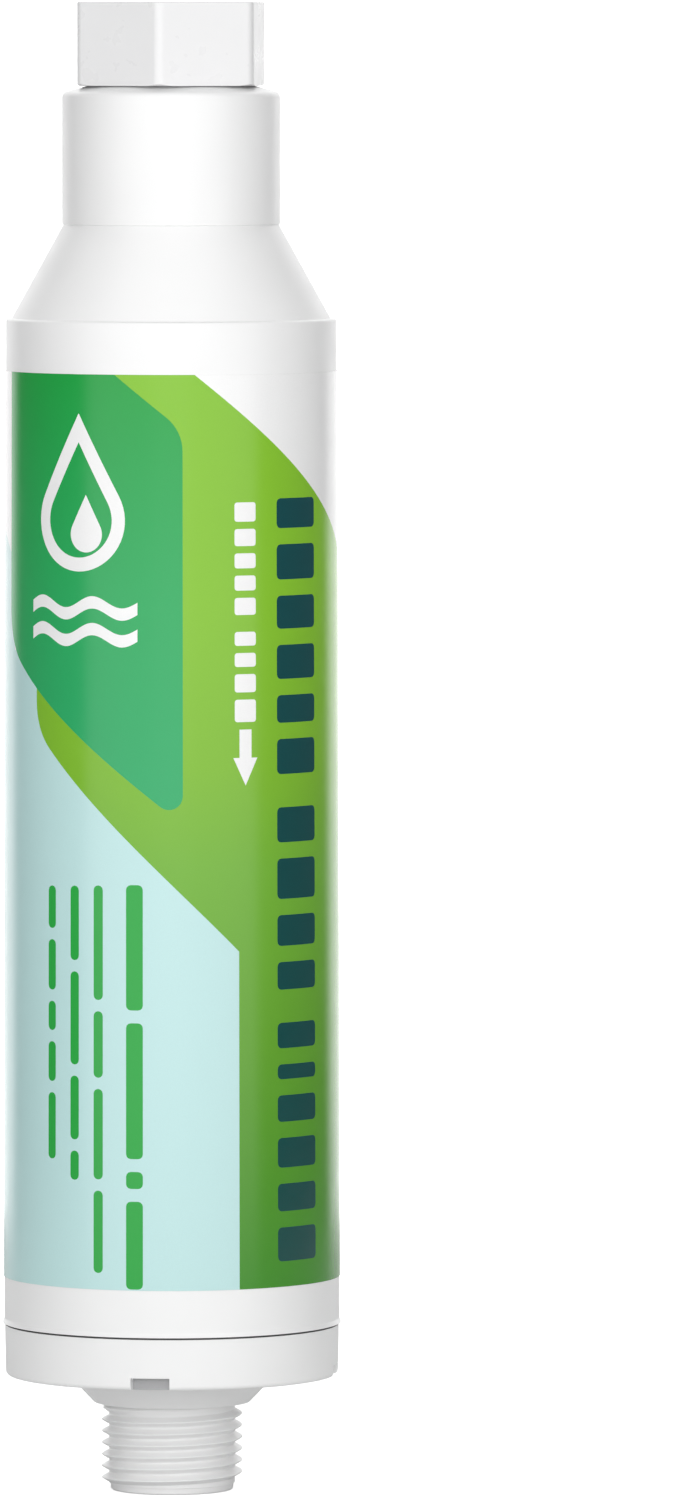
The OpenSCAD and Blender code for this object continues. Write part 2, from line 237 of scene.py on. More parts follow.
class Shader:
    """A node material: a Principled shader, and short calls that add what it needs."""

    def __init__(self, name, **fixed):
        self.material = bpy.data.materials.new(name)
        self.material.use_nodes = True
        self.nodes = self.material.node_tree.nodes
        self.links = self.material.node_tree.links
        self.surface = self.nodes["Principled BSDF"]
        for socket, value in fixed.items():
            self.surface.inputs[socket.replace("_", " ")].default_value = value
        self.coordinates = self.nodes.new("ShaderNodeTexCoord").outputs["Object"]

    def noise(self, scale, detail=3, stretch=(1, 1, 1)):
        mapping = self.nodes.new("ShaderNodeMapping")
        mapping.inputs["Scale"].default_value = stretch
        self.links.new(self.coordinates, mapping.inputs["Vector"])
        texture = self.nodes.new("ShaderNodeTexNoise")
        texture.inputs["Scale"].default_value = scale
        texture.inputs["Detail"].default_value = detail
        self.links.new(mapping.outputs["Vector"], texture.inputs["Vector"])
        return texture.outputs["Fac"]

    def cells(self, scale, output="Distance"):
        texture = self.nodes.new("ShaderNodeTexVoronoi")
        texture.inputs["Scale"].default_value = scale
        self.links.new(self.coordinates, texture.inputs["Vector"])
        return texture.outputs[output]

    def height(self):
        """Height on the object, in metres."""
        axes = self.nodes.new("ShaderNodeSeparateXYZ")
        self.links.new(self.coordinates, axes.inputs["Vector"])
        return axes.outputs["Z"]

    def between(self, value, low, high, to_low=0.0, to_high=1.0):
        remap = self.nodes.new("ShaderNodeMapRange")
        ends = {"From Min": low, "From Max": high, "To Min": to_low, "To Max": to_high}
        for socket, number in ends.items():
            remap.inputs[socket].default_value = number
        self.links.new(value, remap.inputs["Value"])
        return remap.outputs["Result"]

    def ramp(self, value, stops):
        """Colour ramp with stops [(position, colour), ...]."""
        node = self.nodes.new("ShaderNodeValToRGB")
        fill_ramp(node, stops)
        self.links.new(value, node.inputs["Fac"])
        return node.outputs["Color"]

    def mottled(self, colour, value, amount):
        """The colour, up to amount darker where value is low."""
        mix = self.nodes.new("ShaderNodeMix")
        mix.data_type = "RGBA"
        mix.blend_type = "MULTIPLY"
        mix.inputs["Factor"].default_value = 1
        shade = self.ramp(value, [(0.3, (1 - amount,) * 3 + (1,)), (0.7, (1, 1, 1, 1))])
        if isinstance(colour, tuple):
            mix.inputs["A"].default_value = colour
        else:
            self.links.new(colour, mix.inputs["A"])
        self.links.new(shade, mix.inputs["B"])
        return mix.outputs["Result"]

    def into(self, value, socket):
        self.links.new(value, self.surface.inputs[socket])

    def uneven_gloss(self, scale, low, high, detail=3):
        """Roughness that wanders between low and high."""
        self.into(self.between(self.noise(scale, detail), 0.3, 0.7, low, high), "Roughness")

    def bump(self, value, strength, depth):
        node = self.nodes.new("ShaderNodeBump")
        node.inputs["Strength"].default_value = strength
        node.inputs["Distance"].default_value = depth
        self.links.new(value, node.inputs["Height"])
        previous = self.surface.inputs["Normal"]
        if previous.is_linked:
            self.links.new(previous.links[0].from_socket, node.inputs["Normal"])
        self.links.new(node.outputs["Normal"], previous)


def moulded_plastic(name, colour, roughness, cloud=0.03):
    """Moulded polypropylene: faint clouding, a slightly uneven gloss and a very fine skin."""
    shader = Shader(name, IOR=1.49)
    shader.into(shader.mottled(colour, shader.noise(35), cloud), "Base Color")
    shader.uneven_gloss(260, roughness - 0.04, roughness + 0.04, detail=4)
    shader.bump(shader.noise(140), 0.06, 0.0004)
    shader.bump(shader.noise(2600, 2), 0.05, 0.00005)
    return shader.material


def rubber(name, colour):
    """Moulded rubber: matt, slightly dusty and finely pitted."""
    shader = Shader(name, IOR=1.5)
    shader.into(shader.mottled(colour, shader.noise(900), 0.35), "Base Color")
    shader.uneven_gloss(500, 0.6, 0.8)
    shader.bump(shader.noise(3000, 4), 0.35, 0.00008)
    return shader.material


def felt(name, colour):
    """Needled felt: lightly matted fibres that run every way across the pad."""
    shader = Shader(name, Roughness=0.95, Sheen_Weight=0.3)
    fibres = shader.noise(900, 5, (1, 1, 5))
    shader.into(shader.mottled(colour, fibres, 0.22), "Base Color")
    shader.bump(fibres, 0.7, 0.0003)
    shader.bump(shader.noise(2500, 5, (4, 1, 1)), 0.4, 0.0001)
    return shader.material


def granules(name, dark, light, scale, metallic, roughness):
    """Loose granules: each cell has its own shade, and rounded edges between them."""
    shader = Shader(name, Metallic=metallic)
    tone = shader.between(shader.cells(scale, "Color"), 0, 1)
    shader.into(shader.ramp(tone, [(0.1, dark), (0.9, light)]), "Base Color")
    shader.uneven_gloss(2000, roughness - 0.1, roughness + 0.1)
    shader.bump(shader.cells(scale), 0.8, 0.0006)
    return shader.material


def steel_wire(name, colour):
    """Drawn stainless wire: fine scratches along it and a soft shine."""
    shader = Shader(name, Metallic=1.0)
    shader.into(shader.mottled(colour, shader.noise(1500), 0.2), "Base Color")
    shader.uneven_gloss(4000, 0.25, 0.4)
    shader.bump(shader.noise(6000, 2), 0.2, 0.00003)
    return shader.material


def ink(name, stops):
    """Printed film: ink that shades up the label, a trace of print grain and a glossy, wavy skin."""
    shader = Shader(name, IOR=1.55)
    up = shader.between(shader.height(), film_low.z * MM, film_high.z * MM)
    colour = shader.ramp(up, stops)
    shader.into(shader.mottled(colour, shader.noise(5200, 2), 0.03), "Base Color")
    shader.uneven_gloss(180, 0.16, 0.22)
    shader.bump(shader.noise(110), 0.05, 0.0003)
    return shader.material


WHITE = (0.88, 0.88, 0.88, 1)
SATIN = 0.33
shell_plastic = moulded_plastic("shell_white", WHITE, SATIN)
cap_plastic = moulded_plastic("cap_white", WHITE, SATIN)
nut_plastic = moulded_plastic("nut_white", (0.83, 0.83, 0.835, 1), 0.3)
# Dark grey for the seam's groove under the housing's lip: painted shadow of that gap.
painted_seam_shadow = moulded_plastic("seam_shadow_grey", (0.16, 0.16, 0.16, 1), 0.6, 0.2)
# Mid grey for the back walls of the notches: painted shade inside them.
painted_notch_shade = moulded_plastic("notch_shade_grey", (0.46, 0.46, 0.47, 1), 0.6, 0.2)
inner_plastic = moulded_plastic("natural_plastic", (0.78, 0.79, 0.76, 1), 0.42, 0.06)
washer_rubber = rubber("washer_rubber", (0.035, 0.035, 0.038, 1))
oring_rubber = rubber("oring_rubber", (0.02, 0.02, 0.02, 1))
pad_felt = felt("pad_felt", (0.80, 0.78, 0.72, 1))
carbon = granules(
    "carbon_granules", (0.006, 0.006, 0.007, 1), (0.05, 0.05, 0.052, 1),
    scale=900, metallic=0.0, roughness=0.55,
)
copper_zinc = granules(
    "copper_zinc_granules", (0.42, 0.22, 0.08, 1), (0.85, 0.62, 0.27, 1),
    scale=1100, metallic=1.0, roughness=0.38,
)
wire_steel = steel_wire("wire_steel", (0.62, 0.62, 0.64, 1))

# ---------------------------------------------------------------- housing

LIP_H = 0.9                      # height of the flared lip at the seam
LEDGE = 1.05                     # width of the flat ledge where the shoulder starts
CROWN_DROP = 1.2                 # fall of the crown from its flat part to the collar's edge
CROWN_FLAT_R = 16
NECK_R = 10.05                   # bore of the neck, which holds the tailpiece
NECK_STEP_Z = CROWN_Z - 9.5      # step in it, over which the tailpiece grows thicker
SNAP_R = 9.05                    # bore under the step
NECK_FOOT_Z = CROWN_Z - 14       # end of the neck, where the tailpiece's barb snaps out
HUB_R = 12.65                    # outside of the neck, inside the collar
HOLLOW_R = 18                    # inside of the collar
HOLLOW_Z = 238.6                 # where the collar's inside opens into the shoulder's
ROOF_R = 27.4                    # inside of the shoulder's wide end
ROOF_Z = 221.6
SHELF_Z = SHOULDER_Z - 1.6       # underside of the ledge, over the diffuser


def make_housing():
    """Barrel, shoulder, collar and neck in one moulding, hollow inside."""
    foot_r = BARREL_R - BARREL_DRAFT - LEDGE
    lip_z = SEAM_Z + LIP_H
    outside = [
        (shell_high.x, SEAM_Z, 0.06), (barrel_r(lip_z), lip_z, 0.3),
        (barrel_r(SHOULDER_Z), SHOULDER_Z, 0.5), (foot_r, SHOULDER_Z, 0.3),
        (COLLAR_R - 0.3, COLLAR_Z, 0.1), (COLLAR_R, COLLAR_Z, 0.1),
        (COLLAR_R, CROWN_Z - CROWN_DROP, 1.2), (CROWN_FLAT_R, CROWN_Z, 0.5),
    ]
    neck = [
        (NECK_R, CROWN_Z, 0.3), (NECK_R, NECK_STEP_Z, 0.05), (SNAP_R, NECK_STEP_Z, 0.1),
        (SNAP_R, NECK_FOOT_Z, 0.2), (HUB_R, NECK_FOOT_Z, 0.3), (HUB_R, CROWN_Z - WALL, 0.4),
    ]
    hollow = [
        (HOLLOW_R, CROWN_Z - WALL - CROWN_DROP, 0.4), (HOLLOW_R, HOLLOW_Z, 1.0), (ROOF_R, ROOF_Z, 1.0),
        (ROOF_R, SHELF_Z, 0.1), (BORE_R, SHELF_Z, 0.2),
    ]
    outline = rounded([(BORE_R, SEAM_Z, 0.2)] + outside + neck + hollow)
    bm = bmesh.new()
    revolve(bm, [(a, outline) for a in even_angles()])
    piece("housing_shell", bm, [shell_plastic], "filter", ["housing"])


# ---------------------------------------------------------------- end cap

NOTCHES = 4
NOTCH_CLOCK = 262.4              # direction of the first notch, in degrees from +X
NOTCH_HALF = 6.7                 # half its width, in degrees
NOTCH_H = 2.3
NOTCH_R = 29.6                   # radius of its back wall
RIBS = 6
RIB_HALF = 2.6                   # half a rib's width, in degrees
SPIGOT_LEN = 16.7
BOSS_FOOT_R = 14.8
BOSS_TOP_R = 19.8
CAP_Z = SPIGOT_LEN + 5.2         # underside of the skirt, where the coned boss ends
FLOOR_Z = CAP_Z + 3              # inside of the cap's floor
SKIRT_ROUND = 0.9                # rounding of the skirt's lower edge
NOTCH_ROOF = 0.4                 # height over a notch before the skirt widens again
RIB_R = 25                       # outer end of the ribs on the floor
TONGUE_R = 26.3                  # inside of the tongue that the housing is welded round
WELL_R = 16.8                    # inner ends of the ribs, where the floor's well starts
LEAD_IN = 1.3                    # plain end of the spigot, before the first ridge
MALE_ROOT_R = 11.92
MALE_DEPTH = 1.38
SEAM_GAP = 0.35                  # height of the shadow line under the housing's lip
SEAM_DEPTH = 0.8
SHARP = 0.02                     # rounding of a corner that looks sharp


def cap_outline(notched, ribbed):
    """Section of the cap, from the thread's top round the outside and in, and down to the thread's foot."""
    lead_r = MOUNTS["outlet_thread"]["dims"]["r_mm"]
    skirt_r = cap_high.x
    low_r = skirt_r - 0.15
    tongue_r = BORE_R - 0.1
    boss = [(MALE_ROOT_R, SPIGOT_LEN, 0), (BOSS_FOOT_R, SPIGOT_LEN, 0.35), (BOSS_TOP_R, CAP_Z, 0.5)]
    widest = (low_r + 0.04, CAP_Z + NOTCH_H + NOTCH_ROOF, SHARP)
    if notched:
        edge = [
            (NOTCH_R, CAP_Z, 0.15), (NOTCH_R, CAP_Z + NOTCH_H, 0.2), (low_r + 0.03, CAP_Z + NOTCH_H, 0.15),
            widest,
        ]
    else:
        edge = [
            (NOTCH_R, CAP_Z, SHARP), (low_r - SKIRT_ROUND - 0.05, CAP_Z, SHARP),
            (low_r, CAP_Z, SKIRT_ROUND), widest,
        ]
    seam = [
        (skirt_r, SEAM_Z - SEAM_GAP, 0.1), (skirt_r - SEAM_DEPTH, SEAM_Z - SEAM_GAP, 0.05),
        (skirt_r - SEAM_DEPTH, SEAM_Z, 0.05), (tongue_r, SEAM_Z, SHARP),
    ]
    tongue = [(tongue_r, cap_high.z, 0.3), (TONGUE_R, cap_high.z, 0.15)]
    if ribbed:
        inside = [(RIB_R, cap_high.z, SHARP), (WELL_R, cap_high.z, 0.3), (WELL_R, FLOOR_Z, SHARP)]
    else:
        inside = [(TONGUE_R, FLOOR_Z, 0.3), (WELL_R + 0.8, FLOOR_Z, SHARP), (WELL_R, FLOOR_Z, 0.3)]
    water_way = [
        (FLOW_R, SPIGOT_LEN, 0.8), (FLOW_R, 0, 0.4), (lead_r, 0, 0.5), (lead_r, LEAD_IN, 0.1),
        (MALE_ROOT_R, LEAD_IN, 0),
    ]
    return rounded(boss + edge + seam + tongue + inside + water_way, closed=False)


def make_cap():
    """Welded end cap with notches, coned boss and threaded spigot."""
    notches = [math.radians(NOTCH_CLOCK + 360 * i / NOTCHES) % TURN for i in range(NOTCHES)]
    ribs = [TURN * i / RIBS for i in range(RIBS)]

    def within(angle, centres, half):
        return any(abs((angle - c + math.pi) % TURN - math.pi) < math.radians(half) - 1e-6 for c in centres)

    walls = [(c + s * math.radians(NOTCH_HALF)) % TURN for c in notches for s in (-1, 1)]
    walls += [(c + s * math.radians(RIB_HALF)) % TURN for c in ribs for s in (-1, 1)]
    too_near = 0.004
    plain = [a for a in even_angles() if all(abs(a - w) > too_near for w in walls)]
    sections = []
    angles = sorted(plain + walls)
    nudge = 1e-4                 # to either side of a wall, to tell what stands there
    for a in angles:
        sides = [a - nudge, a + nudge] if a in walls else [a]
        for side in sides:
            notched = within(side, notches, NOTCH_HALF)
            ribbed = within(side, ribs, RIB_HALF)
            sections.append((a, cap_outline(notched, ribbed)))
    bm = bmesh.new()
    revolve(bm, sections, closed=False)
    thread_wall(bm, angles, MALE_ROOT_R, MALE_DEPTH, LEAD_IN, SPIGOT_LEN, LEAD_IN - 0.1, SPIGOT_LEN - 0.4)

    materials = [cap_plastic, painted_seam_shadow, painted_notch_shade]

    def material_of(face):
        middle = face.calc_center_median() / MM
        r = math.hypot(middle.x, middle.y)
        # The seam's groove gets the dark grey: painted shadow.
        if r > cap_high.x - SEAM_DEPTH - 0.1 and SEAM_Z - SEAM_GAP - 0.02 < middle.z < SEAM_Z + 0.02:
            return materials.index(painted_seam_shadow)
        # The notches' back walls get the mid grey: painted shade.
        if abs(r - NOTCH_R) < 0.05 and CAP_Z < middle.z < CAP_Z + NOTCH_H:
            return materials.index(painted_notch_shade)
        return 0

    piece("cap_moulding", bm, materials, "filter", ["end_cap"], material_of=material_of)


# ---------------------------------------------------------------- swivel nut

NUT_FLATS = 33.5
NUT_EDGE_R = 2.1
NUT_CLOCK = 23                   # direction of one upright edge, in degrees from +X
NUT_CORNER_CUT = 1.1
NUT_CORNER_CUT_H = 0.35
NUT_GAP = 0.08                   # between the nut's foot and the crown it turns on, at rest
NUT_BEVEL = 0.12                 # of the foot's outer edge
NUT_LIP_R = 10.35                # hole of the lip, which runs on the tailpiece
NUT_LIP_T = 2
THREAD_MARGIN = 0.15             # plain wall before and after the female ridge
FEMALE_R = 13.65
FEMALE_DEPTH = 1.36


def hexagon(angle):
    """Radius of the nut's rounded hexagon in a direction from an upright edge, in radians."""
    half = NUT_FLATS / 2
    from_flat = (angle % (TURN / 6)) - TURN / 12
    reach = math.atan((half - NUT_EDGE_R) * math.tan(TURN / 12) / half)
    if abs(from_flat) <= reach:
        return half / math.cos(from_flat)
    from_edge = TURN / 12 - abs(from_flat)
    centre = (half - NUT_EDGE_R) / math.cos(TURN / 12)
    return centre * math.cos(from_edge) + math.sqrt(NUT_EDGE_R**2 - (centre * math.sin(from_edge)) ** 2)


def make_nut():
    """Hexagon swivel nut with its female hose thread and turned-in lip."""
    half = NUT_FLATS / 2
    reach = math.atan((half - NUT_EDGE_R) * math.tan(TURN / 12) / half)
    across = [reach * (i / 8 - 1) for i in range(17)]
    round_edge = [reach + (TURN / 6 - 2 * reach) * i / 14 for i in range(1, 14)]
    clock = math.radians(NUT_CLOCK)
    angles = sorted(
        (clock + TURN * (i + 0.5) / 6 + a) % TURN for i in range(6) for a in across + round_edge
    )
    entry = MOUNTS["inlet_thread"]["dims"]
    lip_top = nut_low.z + NUT_LIP_T
    foot_z = CROWN_Z + NUT_GAP
    entry_z = nut_high.z - entry["length_mm"]
    cone_r = half / math.cos(TURN / 12) - NUT_CORNER_CUT
    sections = []
    for a in angles:
        outer = hexagon(a - clock)
        cut_h = max(0.0, outer - cone_r) * NUT_CORNER_CUT_H / NUT_CORNER_CUT
        sections.append((a, rounded([
            (FEMALE_R, lip_top, 0), (NUT_LIP_R, lip_top, 0.25), (NUT_LIP_R, foot_z, 0.25),
            (min(outer, cone_r) - NUT_BEVEL, foot_z, 0), (outer, foot_z + cut_h + NUT_BEVEL, 0),
            (outer, nut_high.z, 0.3), (entry["r_mm"], nut_high.z, 0.25), (entry["r_mm"], entry_z, 0.05),
            (FEMALE_R, entry_z, 0),
        ], closed=False)))
    bm = bmesh.new()
    revolve(bm, sections, closed=False)
    ridge_half = RIDGE_CREST + 0.93
    first = washer_high.z + THREAD_MARGIN + ridge_half
    last = entry_z - THREAD_MARGIN - ridge_half
    thread_wall(bm, angles, FEMALE_R, -FEMALE_DEPTH, lip_top, entry_z, first, last)
    piece("nut_shell", bm, [nut_plastic], "nut", ["swivel_nut"])


# ---------------------------------------------------------------- inlet parts

FLANGE_T = 1.4                   # of the tailpiece's flange, under the washer
TUBE_R = 10                      # tailpiece in the neck's bore
TUBE_LOW_R = 9                   # and under the neck's step
BARB_R = 9.6
BARB_TIP_R = 8.4
GROOVE_R = 8.5                   # bottom of the O-ring's groove
WASHER_HOLE_R = 7.8


def turned(name, corners, material, body, nodes, steps=4):
    """A ring-shaped piece turned from one outline."""
    outline = rounded(corners, steps)
    bm = bmesh.new()
    revolve(bm, [(a, outline) for a in even_angles()])
    return piece(name, bm, [material], body, nodes)


def make_inlet_parts():
    """Tailpiece, O-ring and hose washer."""
    flange_z = tail_high.z - FLANGE_T
    barb_z = NECK_FOOT_Z - 0.1
    groove_low = oring_low.z - 0.03
    groove_high = oring_high.z + 0.03
    turned("tailpiece_tube", [
        (FLOW_R, tail_low.z, 0.2), (BARB_TIP_R, tail_low.z, 0.2), (BARB_R, barb_z, 0.15),
        (TUBE_LOW_R, barb_z, 0.1), (TUBE_LOW_R, NECK_STEP_Z, 0.15), (TUBE_R, NECK_STEP_Z, 0.2),
        (TUBE_R, groove_low, 0.1), (GROOVE_R, groove_low, 0.1), (GROOVE_R, groove_high, 0.1),
        (TUBE_R, groove_high, 0.1), (TUBE_R, flange_z, 0.3), (tail_high.x, flange_z, 0.25),
        (tail_high.x, tail_high.z, 0.25), (FLOW_R, tail_high.z, 0.4),
    ], inner_plastic, "filter", ["inlet_tailpiece"])
    section = (oring_high.z - oring_low.z) / 2
    nearly_round = section * 0.98
    outer = oring_high.x
    hole = outer - 2 * section
    turned("neck_seal", [
        (hole, oring_low.z, nearly_round), (outer, oring_low.z, nearly_round),
        (outer, oring_high.z, nearly_round), (hole, oring_high.z, nearly_round),
    ], oring_rubber, "filter", ["neck_oring"], steps=8)
    turned("washer_ring", [
        (WASHER_HOLE_R, washer_low.z, 0.25), (washer_high.x, washer_low.z, 0.3),
        (washer_high.x, washer_high.z, 0.3), (WASHER_HOLE_R, washer_high.z, 0.25),
    ], washer_rubber, "washer", ["hose_washer"])


# ---------------------------------------------------------------- filter media


def media_disc(name, node, material, spacing, grain, depth, columns, edge=0.4):
    """A disc of loose or fibrous stuff, with its skin up to depth inside the CAD solid.

    The skin's lumps are of the grain's size, on a mesh with the given spacing and columns.
    """
    low, high = span(node)
    r = high.x
    corners = [(0, low.z, 0), (r, low.z, edge), (r, high.z, edge), (0, high.z, 0)]
    coarse = rounded(corners, closed=False)
    outline = []
    for (r0, z0), (r1, z1) in zip(coarse, coarse[1:]):
        count = max(1, round(math.dist((r0, z0), (r1, z1)) / spacing))
        outline += [(r0 + (r1 - r0) * i / count, z0 + (z1 - z0) * i / count) for i in range(count)]
    outline.append(coarse[-1])
    bm = bmesh.new()
    revolve(bm, [(a, outline) for a in even_angles(columns)], closed=False)
    bmesh.ops.remove_doubles(bm, verts=bm.verts, dist=1e-6)
    bmesh.ops.recalc_face_normals(bm, faces=bm.faces)
    bm.normal_update()
    normals = [(v, v.normal.copy()) for v in bm.verts]
    for v, normal in normals:
        nearest = noise.voronoi(v.co / (grain * MM))[0][0]
        v.co -= normal * min(1.0, nearest * 1.3) * depth * MM
    return piece(name, bm, [material], "filter", [node], sharp=80)


def make_weave():
    """Outlet screen: crossing wires that pass over and under each other inside a thin rim."""
    low, high = span("outlet_screen")
    middle = (low.z + high.z) / 2
    wire_r = (high.z - low.z) / 4
    sides = 6                    # of a wire's section
    pitch = 1.6
    rim_w = 1.2
    rim_hole = high.x - rim_w
    reach = high.x - rim_w / 2
    bm = bmesh.new()
    rim = rounded([
        (rim_hole, low.z, 0.1), (high.x, low.z, 0.1), (high.x, high.z, 0.1), (rim_hole, high.z, 0.1),
    ], steps=2)
    revolve(bm, [(a, rim) for a in even_angles(128)])
    lines = int(reach / pitch)
    for along_x in (True, False):
        for line in range(-lines, lines + 1):
            across = line * pitch
            half = math.sqrt(reach**2 - across**2)
            count = max(4, round(4 * half / pitch))
            rings = []
            for i in range(count + 1):
                along = -half + 2 * half * i / count
                phase = math.pi * (along / pitch + line + (0 if along_x else 1))
                lift = wire_r * 0.98 * math.cos(phase)
                ring = []
                for k in range(sides):
                    a = TURN * k / sides
                    side, up = across + wire_r * math.cos(a), middle + lift + wire_r * math.sin(a)
                    spot = (along, side, up) if along_x else (side, along, up)
                    ring.append(bm.verts.new(Vector(spot) * MM))
                rings.append(ring)
            for ring, following in zip(rings, rings[1:]):
                for k in range(sides):
                    n = (k + 1) % sides
                    bm.faces.new((ring[k], ring[n], following[n], following[k]))
            bm.faces.new(rings[0][::-1])
            bm.faces.new(rings[-1])
    return piece("screen_weave", bm, [wire_steel], "filter", ["outlet_screen"])


def make_media():
    media_disc("copper_zinc_granules", "kdf_bed", copper_zinc, 0.8, 0.9, 0.45, 220)
    media_disc("carbon_granules", "carbon_bed", carbon, 1.0, 1.3, 0.6, 180)
    for end in ("inlet", "divider", "outlet"):
        pad = media_disc(f"{end}_felt", f"{end}_pad", pad_felt, 0.9, 2.6, 0.15, 160, edge=0.8)
    make_weave()
    for node in ("inlet_diffuser", "outlet_grid"):
        slots = frame["nodes"][node].data.materials
        slots.clear()
        slots.append(inner_plastic)


# ---------------------------------------------------------------- label

FILM_T = 0.15
FILM_LIFT = 0.02                 # between the film and the barrel
FLAT_R = 31.5                    # radius that turns an arc on the label into an angle
EDGE_U = math.radians(180 - 1.5) * FLAT_R
SLOPE = 0.8                      # fall of every slanted edge in the art
GRID_U = 1.5                     # the film's mesh, across
GRID_Z = 4.0                     # and up
MERGE = 2e-3                     # points closer than this become one

LIME = [
    (0.00, srgb(62, 140, 34)), (0.26, srgb(98, 162, 44)), (0.46, srgb(114, 176, 54)),
    (0.57, srgb(126, 184, 47)), (0.75, srgb(132, 191, 46)), (1.00, srgb(132, 191, 48)),
]
GREEN = [(0.55, srgb(44, 168, 104)), (0.75, srgb(42, 167, 94)), (1.00, srgb(28, 158, 66))]
BLUE = [(0.0, srgb(191, 226, 225)), (1.0, srgb(193, 227, 226))]
TEAL = [(0.0, srgb(12, 74, 70)), (1.0, srgb(12, 70, 76))]
LEAF = [(0.0, srgb(38, 164, 64)), (1.0, srgb(44, 168, 70))]
PAPER = [(0.0, srgb(240, 240, 240)), (1.0, srgb(242, 242, 242))]


def box_outline(u0, u1, z0, z1, r=0.0):
    """Rectangle on the label, with rounded corners."""
    corners = [(u0, z0, r), (u1, z0, r), (u1, z1, r), (u0, z1, r)]
    return rounded(corners, 3)


def round_outline(u, z, r, steps=40):
    return [(u + r * math.cos(TURN * i / steps), z + r * math.sin(TURN * i / steps)) for i in range(steps)]


def drop_outline(u, z, r, height, steps=36):
    """Water drop: a circle about (u, z) drawn up to a point height above it."""
    touch = math.acos(r / height)
    sweep = TURN - 2 * touch
    arc = [
        (u + r * math.sin(touch + sweep * i / steps), z + r * math.cos(touch + sweep * i / steps))
        for i in range(steps + 1)
    ]
    return [(u, z + height)] + arc


def wave_outline(u0, u1, z, rise, crests, thick, steps=48):
    """Band that swings up and down between u0 and u1."""
    top = []
    for i in range(steps + 1):
        t = i / steps
        top.append((u0 + (u1 - u0) * t, z + rise * math.sin(TURN * crests * t)))
    return [(u, v - thick / 2) for u, v in top] + [(u, v + thick / 2) for u, v in reversed(top)]


def dashes(u0, u1, z, lengths, gap, r):
    """A line of plain dashes running down from z, standing where words would be.

    A length under 0 isn't a dash: it moves the next one further down, as the space between two words does.
    """
    shapes = []
    for length in lengths:
        if length > 0:
            shapes.append(box_outline(u0, u1, z - length, z, min(r, length / 2.2)))
            z -= length + gap
        else:
            z += length
    return shapes


def label_art():
    """Inks in the order that they are printed, each with its outline on the flat label.

    The numbers in the art are its own measures, with u from the front's middle and z from the end face.
    """
    low, high = film_low.z, film_high.z
    panel = (-40.2, 2.1)                 # its left and right edge
    art = [("paper", box_outline(-EDGE_U, EDGE_U, low, high))]
    valley = (66, 163)                   # where the lime's right edge meets the blue of the back
    ridge = valley[1] + SLOPE * (EDGE_U - valley[0])
    top_u = 82.7                         # how far left the blue's slanted edge would reach the film's top
    peak_u = (high - SLOPE * top_u - ridge - SLOPE * EDGE_U) / (2 * SLOPE)
    peak_z = ridge + SLOPE * (peak_u + EDGE_U)
    under_u, under_z = -38, 160          # hidden under the panel
    front_z = peak_z - SLOPE * (under_u - peak_u)
    art.append(("blue", rounded([
        (-EDGE_U, low, 0), (14, low, 0), (14, under_z, 0), (under_u, under_z, 0), (under_u, front_z, 0),
        (peak_u, peak_z, 9), (-EDGE_U, ridge, 0),
    ])))
    art.append(("blue", [(valley[0], low), (EDGE_U, low), (EDGE_U, ridge), valley]))
    left, fall = -29.3, 122.2
    corner_u = 12.9
    art.append(("lime", rounded([
        (corner_u, low, 0), (valley[0], low, 0), (valley[0], valley[1], 0), (4.4, high, 0), (-16, high, 0),
        (-16, 170, 0), (left, 170, 0), (left, fall + SLOPE * -left, 12), (corner_u, 104.3, 0),
    ], 8)))
    art.append(("green", rounded([
        (panel[0], high, 0), (panel[0], 161.8, 13), (panel[1], 128.2, 2.6), (panel[1], 201.9, 8),
        (-10.9, high, 0),
    ], 8)))
    art += panel_mark()
    art += title_marks()
    art += data_marks()
    art += back_marks()
    return art


def panel_mark():
    """A water drop over two waves, where the green panel carries a name."""
    u, z = -18.4, 185
    marks = [("paper", drop_outline(u, z, 9.6, 20)), ("green", drop_outline(u, z, 7.0, 14.6))]
    marks.append(("paper", drop_outline(u + 1.6, z - 2.6, 3.4, 7.4)))
    for i in range(2):
        marks.append(("paper", wave_outline(u - 12, u + 12, 168.6 - 5 * i, 1.1, 2, 2.3)))
    return marks


def title_marks():
    """Dashes where the title runs, the flow mark's dashes and its arrow."""
    title = [5.6, 6.6, 6.2, 6.4, 5.2, 6.6, -3.2, 6.6, 7.6, 5.8, 5.2, -3.2, 4.8, 2.8, 5.0, 5.6, 5.2, 6.4]
    flow = [3.6, 3.2, 2.8, 2.8, 3.2, -1.8, 2.6, 2.6, 3.4, 4.2]
    marks = []
    for colour, u0, u1, top, foot, lengths, r in (
        ("teal", 21.3, 32.0, 189.0, 45.6, title, 0.9),
        ("paper", 12.1, 16.5, 188.4, 147.3, flow, 0.5),
    ):
        gaps = sum(1 for length in lengths if length > 0) - 1
        gap = (top - foot - sum(abs(length) for length in lengths)) / gaps
        marks += [(colour, shape) for shape in dashes(u0, u1, top, lengths, gap, r)]
    tip, neck, tail = 135.4, 140.6, 145.9
    middle, head, shaft = 14.3, 2.5, 1.25
    marks.append(("paper", [
        (middle, tip), (middle + head, neck), (middle + shaft, neck), (middle + shaft, tail),
        (middle - shaft, tail), (middle - shaft, neck), (middle - head, neck),
    ]))
    return marks


def data_marks():
    """Four lines of dashes where the front's small print runs."""
    lines = [
        (-8.6, -5.4, 116.9, [23.5, 25.5, 3.2, 16.5], 2.4),
        (-15.1, -13.2, 116.7, [21.5, 12.5, 17.0, 15.5], 2.1),
        (-20.2, -18.3, 116.5, [14.0, 17.5, 12.0, 5.5], 2.1),
        (-25.7, -23.8, 116.3, [8.0, 9.5, 5.5, 7.5, 12.5], 2.1),
    ]
    marks = []
    for u0, u1, z, lengths, gap in lines:
        marks += [("leaf", shape) for shape in dashes(u0, u1, z, lengths, gap, 0.9)]
    return marks


